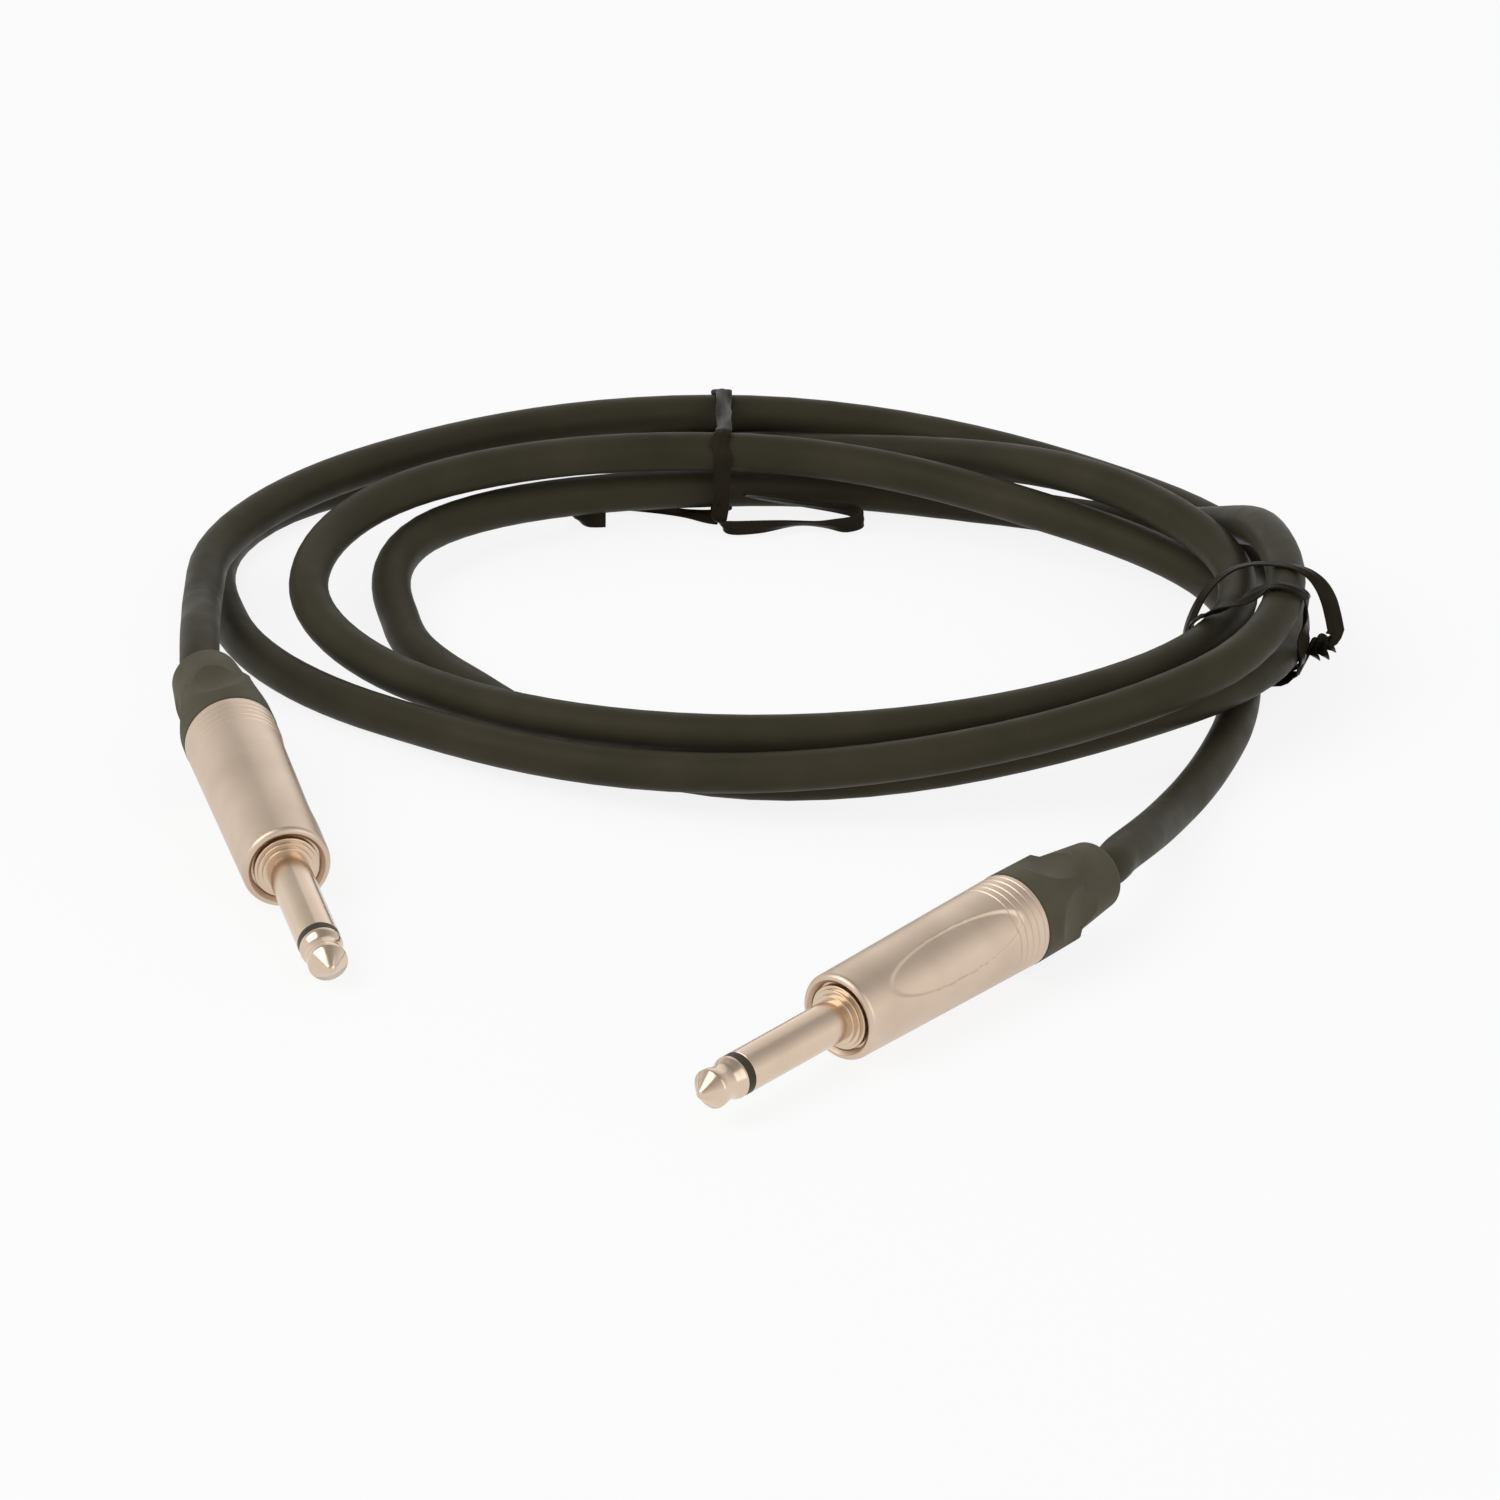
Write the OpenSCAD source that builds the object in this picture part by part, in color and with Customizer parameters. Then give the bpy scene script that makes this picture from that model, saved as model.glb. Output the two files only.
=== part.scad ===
// Instrument cable: a coiled lead with a straight two-pole 6.35 mm plug on each end,
// held by two twist ties. Millimetres, +Z up, resting on z = 0.
// Each plug is built along +Z from the apex of its tip and then laid down in place.

/* [Cable] */
// Outside diameter of the cable
cord_d = 6; // [5.4:0.1:6.2]
// Half of the coil's width from left to right, at lane 0
coil_rx = 79; // [70:1:95]
// Half of the coil's depth from front to back, at lane 0
coil_ry = 53; // [48:1:64]

/* [Plug finger] */
// Diameter of the finger that goes into a socket
finger_d = 6.35; // [6.2:0.05:6.4]
// Distance from the tip's apex to the face of the shell
finger_length = 30; // [28:0.5:36]
// Length of the tip contact
tip_length = 7.2; // [6.6:0.1:8.6]
// Length of the insulating ring behind the tip
tip_ring_length = 1.5; // [0.8:0.1:2]
// Diameter of the tip's rounded head
tip_head_d = 5.84; // [5.6:0.02:6]
// Diameter of the tip's neck
tip_neck_d = 5.26; // [5:0.02:5.5]
// Diameter of the contact rod inside the finger
rod_d = 2.4; // [2:0.1:2.8]
// Wall of the sleeve contact
sleeve_wall = 1; // [0.8:0.05:1.1]

/* [Shell] */
// Length of the metal shell
shell_length = 38.7; // [36:0.1:46.4]
// Outside diameter at the front of the shell
shell_front_d = 13.1; // [12.9:0.1:15]
// Outside diameter at the back of the shell
shell_back_d = 14.1; // [13.9:0.1:16]
// Diameter of the bore behind the front lip
shell_bore_d = 11; // [10.8:0.1:11.2]
// Diameter of the opening in the front lip
shell_mouth_d = 10.4; // [10:0.1:10.6]
// Length of the oval recess in the side of the shell
recess_length = 28; // [20:1:30]
// Width of the oval recess
recess_width = 7.5; // [5:0.5:8]
// Depth of the oval recess
recess_depth = 0.25; // [0.1:0.05:0.4]
// Number of fine grooves round the back of the shell
groove_count = 5; // [3:1:5]

/* [Boot] */
// Length of the boot behind the shell
boot_length = 18.9; // [18:0.1:22.7]
// Diameter of the boot's front ring
boot_ring_d = 14.2; // [14:0.1:16]
// Length of the boot's front ring
boot_ring_length = 9.3; // [8.5:0.1:10]
// Diameter of the boot behind its front ring
boot_waist_d = 12.3; // [12:0.1:13]
// Diameter of the boot at its mouth
boot_mouth_d = 10.3; // [9.8:0.1:10.8]
// Number of finger scoops round the boot
boot_scoops = 4; // [2:1:4]

/* [Fits] */
// Radial clearance where one piece turns or slides on another
running_clearance = 0.05; // [0.02:0.01:0.1]
// Clearance round pieces that only rest on each other
seat_clearance = 0.1; // [0.05:0.05:0.2]

/* [Ties] */
// Width of the tie strip
tie_width = 2.6; // [2:0.2:4]
// Thickness of the tie strip
tie_thickness = 0.6; // [0.4:0.1:1]
// Gap between a tie and the cable's surface
tie_gap = 0.5; // [0.5:0.05:0.7]

/* [Hidden] */
$fn = 48;

cord_r = cord_d / 2;
cord_flat = cord_d / 10;                // depth of the flat where the cable rests
cord_rest = cord_r - cord_flat;         // height of the cable's centre on the ground

finger_r = finger_d / 2;
rod_r = rod_d / 2;
tip_ring_end = tip_length + tip_ring_length;
shell_face = finger_length;
shell_end = shell_face + shell_length;
shell_front_r = shell_front_d / 2;
shell_back_r = shell_back_d / 2;
shell_bore_r = shell_bore_d / 2;
shell_mouth_r = shell_mouth_d / 2;
jacket_start = shell_end - 12.7;         // where the cable's jacket ends, inside the shell
lip_round = 0.8;                        // rounding of the shell's front edge
lip_bevel = 0.5;                        // bevel inside the shell's front edge
lip_thickness = 1.2;                    // thickness of the front lip
groove_pitch = 1.3;
groove_width = 0.35;
groove_depth = 0.15;
groove_setback = 1.2;                   // last groove to the shell's back end
recess_setback = 4.7;                   // recess end to the shell's back end
back_bore_r = shell_bore_r + 0.4;       // wider bore that takes the boot's spigot
spigot_length = 7;
spigot_wall = 0.75;
spigot_start = shell_end - spigot_length;
boot_end = shell_end + boot_length;
boot_bore_r = cord_r + 0.4;
barrel_r = shell_bore_r - running_clearance;
barrel_start = shell_face + lip_thickness + 0.15;
barrel_length = 7.5;
barrel_end = barrel_start + barrel_length;
insulator_length = 2;
insulator_end = barrel_end + insulator_length;
lug_thickness = 0.5;
rod_end = insulator_end + 2.6;
chuck_r = back_bore_r - running_clearance - spigot_wall - seat_clearance;
chuck_start = jacket_start + 3;
chuck_end = shell_end + 5;
wing_r = cord_r + seat_clearance;       // inside of the ground lug's wings
lug_strip_r = wing_r + lug_thickness - 0.25; // from the axis to the ground lug's strip

// Outside radius of the shell at a distance from the tip
function shell_r(z) = shell_front_r + (shell_back_r - shell_front_r) * (z - shell_face) / shell_length;
lip_r = shell_r(shell_face + lip_round);
// Height of the tip with the rounded front edge of the shell on the ground
function tip_height(tilt) =
    (lip_r - lip_round) * cos(tilt) + lip_round - (shell_face + lip_round) * sin(tilt);
// Where each plug lies: place of its tip, heading and rise of its axis, its roll and the
// roll of its boot's scoops
PLUG_A = [[-60.5, -76.4, tip_height(5.6)], 104.2, 5.6, 258, 3];
PLUG_B = [[-8.1, -121.1, tip_height(2.2)], 49.6, 2.2, 234, 40];
function plug_axis(plug) = [cos(plug[1]) * cos(plug[2]), sin(plug[1]) * cos(plug[2]), sin(plug[2])];
function on_axis(plug, s) = plug[0] + s * plug_axis(plug);

// The coil: a point goes round an oval from its left side over the back. Its lane is how
// far outside the oval it runs and its height is that of the cable's centre. Both are set
// at eight stations a turn, one row for each turn, and run smoothly between them.
COIL_CENTRE = [-1, 51];
TURNS = 3.5;
STATIONS = 8;
LANES = [
     3.5,  2.5,  13.5,  8.5,   2.5, 12.0,  6.5, -18.5,
   -26.0, -11.5, -4.5,  0.5,  -0.5, 15.5, 13.0, -2.0,
     0.0, 17.5,   9.5, -9.0,  -5.5,  1.5,  6.0, -9.0,
   -12.0, -9.0,  -7.5, -12.5, -5.5, -5.5];
HEIGHTS = [
    10.5, 12.5,   9.3,  5.0,   5.5,  9.0,  3.0,  3.0,
     2.5,  6.0,   4.5,  3.0,  17.0, 14.5,  7.0,  3.0,
     2.5,  2.5,   4.5, 14.0,  10.7, 10.1, 10.0,  6.0,
     9.0, 12.5,  11.5,  8.0,   4.2,  5.0];
LOOP_RINGS = 24;
COIL_SIDES = 6;
LEAD_SIDES = 12;

// Smooth curve through equally spaced values or points
function entry(v, i) = v[min(max(i, 0), len(v) - 1)];
function blend(a, b, c, d, w) =
    b + 0.5 * w * (c - a + w * (2 * a - 5 * b + 4 * c - d + w * (3 * (b - c) + d - a)));
function smooth(v, u) = let (i = floor(u))
    blend(entry(v, i - 1), entry(v, i), entry(v, i + 1), entry(v, i + 2), u - i);
function lane(t) = smooth(LANES, t * STATIONS);
function height(t) = max(cord_rest, smooth(HEIGHTS, t * STATIONS));
function coil_point(t) = [
    COIL_CENTRE[0] - (coil_rx + lane(t)) * cos(360 * t),
    COIL_CENTRE[1] + (coil_ry + lane(t)) * sin(360 * t),
    height(t)];

function unit(v) = v / norm(v);
COIL_STEP = 1 / LOOP_RINGS;
COIL_START = coil_point(0);
COIL_END = coil_point(TURNS);
TANGENT_STEP = 0.001;                   // in turns
START_RUN = unit(coil_point(TANGENT_STEP) - COIL_START);
END_RUN = unit(COIL_END - coil_point(TURNS - TANGENT_STEP));
// The tube runs straight for one diameter at both ends, where the leads meet it
COIL_FIRST = COIL_START - cord_d * START_RUN;
COIL_LAST = COIL_END + cord_d * END_RUN;
COIL_PATH = concat([COIL_FIRST],
    [for (k = [0 : TURNS * LOOP_RINGS]) coil_point(k * COIL_STEP)],
    [COIL_LAST]);

// Free stretches: straight through the boot, through chosen points and square into the
// coil's end
LEAD_STEP = 8;                          // distance of the first points of a route
LEAD_RINGS = 2;                         // rings between two points of a route
LEAD_STRAIGHT = 3;                      // straight run behind the boot, which slides on it
LEAD_A_POINTS = [[-83, 16, 12.6], [-83.3, 23.8, 12.4], [-83.5, 31.4, 11.3]];
LEAD_B_POINTS = [[52.6, -46.6, 8.3], [55.7, -38.3, 6.9], [58.2, -29.8, 5], [60.8, -21.3, 3.5],
    [63.8, -12.9, 2.8], [66.6, -4.5, 2.5], [69.1, 4, 2.5], [71.1, 12.5, 2.5], [72.4, 21.3, 3],
    [72.8, 30.2, 3.8]];

function out_of(plug) = [for (k = [2 : -1 : 0]) on_axis(plug, boot_end + LEAD_STRAIGHT - k * LEAD_STEP)];
function rounded(route) = [for (k = [0 : LEAD_RINGS * (len(route) - 1)])
    let (p = smooth(route, k / LEAD_RINGS)) [p[0], p[1], max(cord_rest, p[2])]];
function lead_path(plug, points, before, meet) = concat(
    [on_axis(plug, jacket_start)], rounded(concat(out_of(plug), points, [before])), [meet]);
LEAD_A_PATH = lead_path(PLUG_A, LEAD_A_POINTS, COIL_FIRST - cord_d * START_RUN, COIL_FIRST);
LEAD_B_PATH = lead_path(PLUG_B, LEAD_B_POINTS, COIL_LAST + cord_d * END_RUN, COIL_LAST);

// Least gap between turns of the coil, on points twice as dense as its rings
GAP_POINTS = [for (k = [0 : 2 * TURNS * LOOP_RINGS]) coil_point(k * COIL_STEP / 2)];
GAP_SKIP = LOOP_RINGS;                  // points nearer along the cable aren't compared
function least_gap() = min([for (i = [0 : len(GAP_POINTS) - 1])
    for (j = [i + GAP_SKIP : 1 : len(GAP_POINTS) - 1])
        norm(GAP_POINTS[i] - GAP_POINTS[j])]) - cord_d;
function lead_gap(path) = min([for (p = path) for (q = GAP_POINTS)
    if (norm(p - entry(path, len(path))) + norm(q - entry(path, len(path))) > 6 * cord_d)
        norm(p - q)]) - cord_d;
echo(least_gap_in_coil = least_gap());
echo(least_gap_lead_a = lead_gap(LEAD_A_PATH));
echo(least_gap_lead_b = lead_gap(LEAD_B_PATH));

// ---------------------------------------------------------------- swept solids

function path_run(path, i) = unit(entry(path, i + 1) - entry(path, i - 1));

// A tube along a path, never lower than the ground
module tube(path, r, sides) {
    count = len(path);
    rings = [for (i = [0 : count - 1])
        let (run = path_run(path, i), side = unit(cross(run, [0, 0, 1])), up = cross(side, run))
            for (j = [0 : sides - 1])
                let (a = 360 * j / sides, p = path[i] + r * (cos(a) * side + sin(a) * up))
                    [p[0], p[1], max(0, p[2])]];
    walls = [for (i = [0 : count - 2]) for (j = [0 : sides - 1])
        let (a = i * sides + j, b = i * sides + (j + 1) % sides)
            each [[a, a + sides, b], [b, a + sides, b + sides]]];
    caps = [for (j = [1 : sides - 2])
        each [[0, j, j + 1], [(count - 1) * sides, (count - 1) * sides + j + 1, (count - 1) * sides + j]]];
    polyhedron(rings, concat(walls, caps), convexity = 10);
}

// Corners of a flat strip along a path, given how far it leans from flat at each point
function ribbon(path, leans) = [for (i = [0 : len(path) - 1])
    let (run = path_run(path, i), side = unit(cross(run, [0, 0, 1])), up = cross(side, run),
         across = cos(leans[i]) * side + sin(leans[i]) * up,
         over = cos(leans[i]) * up - sin(leans[i]) * side)
        for (corner = [[1, -1], [1, 1], [-1, 1], [-1, -1]])
            let (p = path[i] + corner[0] * tie_width / 2 * across
                + corner[1] * tie_thickness / 2 * over)
            [p[0], p[1], max(0, p[2])]];

// Solid through such corners, four to a ring
module strip(corners) {
    last = len(corners) - 4;
    walls = [for (i = [0 : 4 : last - 4]) for (j = [0 : 3])
        let (a = i + j, b = i + (j + 1) % 4)
            each [[a, a + 4, b], [b, a + 4, b + 4]]];
    caps = [[0, 1, 2], [0, 2, 3], [last, last + 2, last + 1], [last, last + 3, last + 2]];
    polyhedron(corners, concat(walls, caps), convexity = 10);
}

module cable_coil() {
    color("#26221c") tube(COIL_PATH, cord_r, COIL_SIDES);
}

module cable_lead(path) {
    color("#26221c") tube(path, cord_r, LEAD_SIDES);
}

// ---------------------------------------------------------------- ties

// Frame of a place round the oval: outwards, up and along the cable
function tie_out(t) = [-cos(360 * t), sin(360 * t), 0];
function tie_along(t) = [sin(360 * t), cos(360 * t), 0];
function tie_point(t, p, along) =
    [COIL_CENTRE[0], COIL_CENTRE[1], 0] + [-coil_rx * cos(360 * t), coil_ry * sin(360 * t), 0]
    + p[0] * tie_out(t) + along * tie_along(t) + [0, 0, p[1]];
// The coil's strands where they cross the plane a distance along from that place
function tie_speed(t) =
    2 * PI * (coil_rx * pow(sin(360 * t), 2) + coil_ry * pow(cos(360 * t), 2));
function seen_from(t, p) = [(p - tie_point(t, [0, 0], 0)) * tie_out(t), p[2]];
function strands_at(t, turns, along) =
    [for (turn = turns) seen_from(t, coil_point(t + turn + along / tie_speed(t)))];
// The same of a straight stretch between two points
function stretch_at(t, from, to, along) =
    let (o = tie_point(t, [0, 0], 0), start = (from - o) * tie_along(t), end = (to - o) * tie_along(t))
    seen_from(t, from + (to - from) * (along - start) / (end - start));

// Point of the tightest outline round the strands, where it faces an angle
function round_strands(strands, angle, margin) =
    let (face = [cos(angle), sin(angle)], reach = [for (s = strands) s * face],
         far = search(max(reach), reach)[0])
    strands[far] + margin * face;

// Corners of the tie strip wound round the coil's strands, and other stretches, from one angle
// to another. It is slack at the sides up to an angle, swings along the cable between its
// passes, and lies tighter below than above. Its inner face stays off the ground. Its end
// turns back over the first pass.
TIE_EASE = 0.12;
LAP_FROM = 660;
LAP_GAP = 0.3;
LAP_TURN = 75;                          // angle in which it would swing all the way back
function tie_swing(angle) = angle < 450 ? (1 - cos((angle - 90) / 2)) / 2
    : 1 - max(0, angle - LAP_FROM) / LAP_TURN;
function wrap(t, turns, others, from, to, slack = 0, slack_to = 0, swing = 0) =
    let (inner = cord_r + tie_gap)
    [for (angle = [from : 15 : to])
        let (loose = TIE_EASE * (1 + sin(angle)) + (angle < slack_to ? slack * abs(cos(angle)) : 0)
                 + (angle < LAP_FROM ? 0 : tie_thickness + LAP_GAP),
             along = swing * tie_swing(angle),
             strands = concat(strands_at(t, turns, along),
                 [for (s = others) stretch_at(t, s[0], s[1], along)]))
            for (corner = [[0, -1], [1, -1], [1, 1], [0, 1]])
                let (p = tie_point(t,
                    round_strands(strands, angle, inner + loose + corner[0] * tie_thickness),
                    along + corner[1] * tie_width / 2))
                [p[0], p[1], max((1 - corner[0]) * tie_thickness / 2, p[2])]];

// The back tie's two ends leave the bundle on its inner side: one runs to the left on the
// ground, the other to the right, where it is folded back on itself.
BACK_TIE_AT = 0.24;
BACK_LEFT = [[-24.9, 94.6, 0.6], [-21.6, 96.5, 0.6], [-14.5, 95.1, 0.6], [-8.6, 92, 0.6],
    [-6, 92.4, 0.8], [-5.5, 94.2, 1.4]];
BACK_RIGHT = [[-5.4, 93.6, 3.6], [-4.8, 91.6, 2.2], [-2.8, 90.2, 1.6], [2, 90.6, 1.4],
    [7.8, 91.6, 1.4], [12.6, 93, 1.4], [14.2, 93.9, 1.5], [12.6, 94.5, 1.9], [6.8, 94.6, 3.2],
    [2.1, 94.7, 4.2], [-1.8, 94.3, 5.2]];
BACK_LEANS = [0, 0, 45, 75, 90, 90, 90, 90, 90, 90, 90];
module back_tie() {
    color("#15140f") strip(concat(
        ribbon(BACK_LEFT, [for (p = BACK_LEFT) 180]),
        wrap(BACK_TIE_AT, [0 : 3], [], -150, 195),
        ribbon(BACK_RIGHT, BACK_LEANS)));
}

// The side tie goes round twice: slack at first, then tight, and ends in a twist
SIDE_TIE_AT = 0.555;
SIDE_SLACK = 3.6;
SIDE_SWING = 7.4;
KNOT_FROM = [9.7, 5.9, 1.75];           // outwards, up and along
KNOT_TO = [12.7, 7, 1.2];
KNOT_STEPS = 8;
module side_tie() {
    lead = [for (k = [1, 2]) LEAD_B_POINTS[len(LEAD_B_POINTS) - k]];
    knot = [for (k = [0 : KNOT_STEPS])
        let (p = KNOT_FROM + (KNOT_TO - KNOT_FROM) * k / KNOT_STEPS) tie_point(SIDE_TIE_AT, p, p[2])];
    color("#15140f") strip(concat(
        wrap(SIDE_TIE_AT, [0 : 2], [lead], 0, 690, SIDE_SLACK, 270, SIDE_SWING),
        ribbon(knot, [for (k = [0 : KNOT_STEPS]) 180 + 45 * k])));
}

// ---------------------------------------------------------------- plug pieces

// Lays a plug piece down in its place
module in_plug(plug) {
    translate(plug[0]) rotate([0, 90 - plug[2], plug[1]]) rotate([0, 0, plug[3]]) children();
}

// A ring or disc between two distances from the tip
module ring(inner, outer, from, to) {
    translate([0, 0, from]) difference() {
        cylinder(h = to - from, r = outer);
        if (inner > 0) translate([0, 0, -1]) cylinder(h = to - from + 2, r = inner);
    }
}

TIP_APEX_R = 0.9;
TIP_HEAD_AT = 2.5;
TIP_NECK_AT = 4.8;
// Soft step from one radius to another over a length, as profile points
function soft_step(r0, z0, r1, z1, steps = 8) =
    [for (k = [0 : steps]) [r0 + (r1 - r0) * (1 - cos(180 * k / steps)) / 2, z0 + (z1 - z0) * k / steps]];
module tip() {
    head_r = tip_head_d / 2;
    neck_r = tip_neck_d / 2;
    color("#d9d0c6") rotate_extrude() polygon(concat(
        [for (a = [0 : 15 : 60]) [TIP_APEX_R * sin(a) / sin(60), TIP_APEX_R * (1 - cos(a)) / sin(60)]],
        [[head_r, TIP_HEAD_AT]],
        soft_step(head_r, TIP_HEAD_AT + 0.3, neck_r, TIP_NECK_AT),
        soft_step(neck_r, TIP_NECK_AT + 0.4, finger_r, tip_length - 0.3),
        [[finger_r, tip_length], [rod_r, tip_length], [rod_r, rod_end], [0, rod_end]]));
}

module tip_ring() {
    color("#101010") ring(rod_r, finger_r, tip_length, tip_ring_end);
}

COLLAR_STEPS = [[0.62, -1.1], [1.22, -0.5], [1.65, 0.1]];   // height over the finger, start from the face
module sleeve() {
    bore_r = finger_r - sleeve_wall;
    color("#d9d0c6") difference() {
        union() {
            translate([0, 0, tip_ring_end]) cylinder(h = barrel_end - tip_ring_end, r = finger_r);
            for (step = COLLAR_STEPS)
                translate([0, 0, shell_face + step[1]])
                    cylinder(h = barrel_start - shell_face - step[1] + 0.5, r = finger_r + step[0]);
            translate([0, 0, barrel_start]) cylinder(h = barrel_length, r = barrel_r);
        }
        translate([0, 0, tip_ring_end - 1]) cylinder(h = barrel_end - tip_ring_end + 2, r = bore_r);
    }
}

module inner_tube() {
    color("#1c1c1a") ring(rod_r, finger_r - sleeve_wall, tip_ring_end, barrel_end);
}

module rear_insulator() {
    color("#5a3b22") ring(rod_r, barrel_r - seat_clearance, barrel_end, insulator_end);
}

// Ground lug: a washer behind the insulator, a strip along one side and two cable wings
module ground_lug() {
    strip_start = insulator_end;
    strip_end = jacket_start + 2.6;
    color("#c8bda8") {
        difference() {
            ring(rod_r + 1.2, barrel_r - seat_clearance, strip_start, strip_start + lug_thickness);
            translate([-barrel_r, -barrel_r, strip_start - 1]) cube([2 * barrel_r, barrel_r, 4]);
        }
        translate([-2, lug_strip_r, strip_start]) cube([4, lug_thickness, strip_end - strip_start]);
        translate([0, 0, strip_end - 2.2]) difference() {
            cylinder(h = 2.2, r = wing_r + lug_thickness);
            translate([0, 0, -1]) cylinder(h = 4.2, r = wing_r);
            translate([-1, -2 * cord_r - 1, -1]) cube([2, 2 * cord_r, 4.2]);
        }
    }
}

// Tip lug: a small eyelet riveted on the rod with a tongue for the wire
module tip_lug() {
    color("#c8bda8") {
        ring(rod_r, rod_r + 0.9, insulator_end + 1, insulator_end + 1 + lug_thickness);
        translate([-0.9, -rod_r - 0.9, insulator_end + 1]) cube([1.8, lug_thickness, 6]);
    }
}

// Chuck: a slotted plastic collet that grips the cable
module chuck() {
    slot = 0.8;
    color("#3a3a38") difference() {
        union() {
            translate([0, 0, chuck_start]) cylinder(h = shell_end - chuck_start, r = chuck_r);
            translate([0, 0, shell_end])
                cylinder(h = chuck_end - shell_end, r1 = chuck_r, r2 = chuck_r - 0.9);
        }
        translate([0, 0, chuck_start - 1])
            cylinder(h = chuck_end - chuck_start + 2, r = cord_r + seat_clearance);
        for (k = [0 : 2]) rotate([0, 0, 120 * k])
            translate([0, -slot / 2, chuck_start + 3]) cube([chuck_r + 1, slot, chuck_end]);
    }
}

function groove_points(z) = [[shell_r(z), z], [shell_r(z) - groove_depth, z + groove_width / 3],
    [shell_r(z) - groove_depth, z + groove_width * 2 / 3], [shell_r(z), z + groove_width]];
module shell() {
    grooves = [for (k = [groove_count - 1 : -1 : 0])
        each groove_points(shell_end - groove_setback - k * groove_pitch)];
    outside = concat(
        [for (a = [0 : 15 : 90]) [lip_r - lip_round * (1 - sin(a)), shell_face + lip_round * (1 - cos(a))]],
        grooves, [[shell_back_r, shell_end - 0.25], [shell_back_r - 0.25, shell_end]]);
    inside = [[back_bore_r, shell_end], [back_bore_r, spigot_start - 0.3],
        [shell_bore_r, spigot_start - 0.7], [shell_bore_r, shell_face + lip_thickness],
        [shell_mouth_r, shell_face + lip_thickness], [shell_mouth_r, shell_face + lip_bevel],
        [shell_mouth_r + lip_bevel, shell_face]];
    recess_end = shell_end - recess_setback;
    recess_floor_r = shell_r(recess_end - recess_length / 2) - recess_depth;
    color("#c8b29f") difference() {
        rotate_extrude() polygon(concat(outside, inside));
        intersection() {
            difference() {
                translate([0, 0, recess_end - recess_length])
                    cylinder(h = recess_length, r = shell_back_r + 2);
                translate([0, 0, recess_end - recess_length - 1])
                    cylinder(h = recess_length + 2, r = recess_floor_r);
            }
            oval_prism(recess_end - recess_length, recess_end);
        }
    }
}

// Oval block that reaches from the axis out through one side of the shell
module oval_prism(from, to) {
    rotate([90, 0, 90]) linear_extrude(shell_back_r + 1) polygon([for (a = [0 : 6 : 354])
        [recess_width / 2 * cos(a), (from + to) / 2 + (to - from) / 2 * sin(a)]]);
}

SCOOP_R = 11.9;                         // radius of a finger scoop's round cut
SCOOP_OUT = 10.2;                       // its centre's distance from the boot's ring
SCOOP_BACK = 9.3;                       // its centre's distance from the shell's end
MOUTH_ROUND = 0.9;                      // rounding of the boot's mouth
MOUTH_FLARE = 0.5;                      // widening of its bore there
module boot(roll) {
    ring_r = boot_ring_d / 2;
    ring_end = shell_end + boot_ring_length;
    mouth_r = boot_mouth_d / 2;
    outer = concat(
        [[ring_r - 0.2, shell_end], [ring_r, shell_end + 0.2], [ring_r - 0.15, ring_end],
         [boot_waist_d / 2, ring_end + 0.3]],
        [for (a = [0 : 15 : 90])
            [mouth_r - MOUTH_ROUND * (1 - cos(a)), boot_end - MOUTH_ROUND * (1 - sin(a))]]);
    cavity_r = chuck_r + seat_clearance;
    inner = [[boot_bore_r + MOUTH_FLARE, boot_end], [boot_bore_r, boot_end - 4 * MOUTH_FLARE],
        [boot_bore_r, chuck_end + 1], [cavity_r - 0.9, chuck_end + 0.4],
        [cavity_r, shell_end + 0.1], [cavity_r, spigot_start],
        [cavity_r + spigot_wall, spigot_start], [cavity_r + spigot_wall, shell_end]];
    color("#33312e") difference() {
        rotate_extrude() polygon(concat(outer, inner));
        for (k = [0 : boot_scoops - 1]) rotate([0, 0, roll + 360 * k / boot_scoops])
            translate([ring_r + SCOOP_OUT, 0, shell_end + SCOOP_BACK]) rotate([90, 0, 0])
                cylinder(h = 2 * boot_ring_d, r = SCOOP_R, center = true, $fn = 96);
    }
}

// Wires inside the shell, in the plug's own frame
module core_wire() {
    wire_r = 0.6;
    color("#e6e2d8") tube_in_plug([[0, 0, jacket_start], [0, -0.4, jacket_start - 2],
        [0, -1.1, jacket_start - 4.5], [0, -1.0, insulator_end + 6]], wire_r);
}

module shield_tail() {
    wire_r = 0.6;
    joint_y = lug_strip_r - seat_clearance - wire_r;
    color("#b87333") tube_in_plug([[0, joint_y - 1.05, jacket_start],
        [0.4, joint_y - 0.35, jacket_start - 2], [0.2, joint_y - 0.05, jacket_start - 4.5],
        [0, joint_y, jacket_start - 7]], wire_r);
}

// Small round wire along points that run towards the tip
module tube_in_plug(path, r) {
    sides = 8;
    count = len(path);
    rings = [for (p = path) for (j = [0 : sides - 1])
        p + r * [cos(360 * j / sides), sin(360 * j / sides), 0]];
    walls = [for (i = [0 : count - 2]) for (j = [0 : sides - 1])
        let (a = i * sides + j, b = i * sides + (j + 1) % sides)
            each [[a, b, a + sides], [b, b + sides, a + sides]]];
    caps = [for (j = [1 : sides - 2])
        each [[0, j + 1, j], [(count - 1) * sides, (count - 1) * sides + j, (count - 1) * sides + j + 1]]];
    polyhedron(rings, concat(walls, caps), convexity = 4);
}

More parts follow.
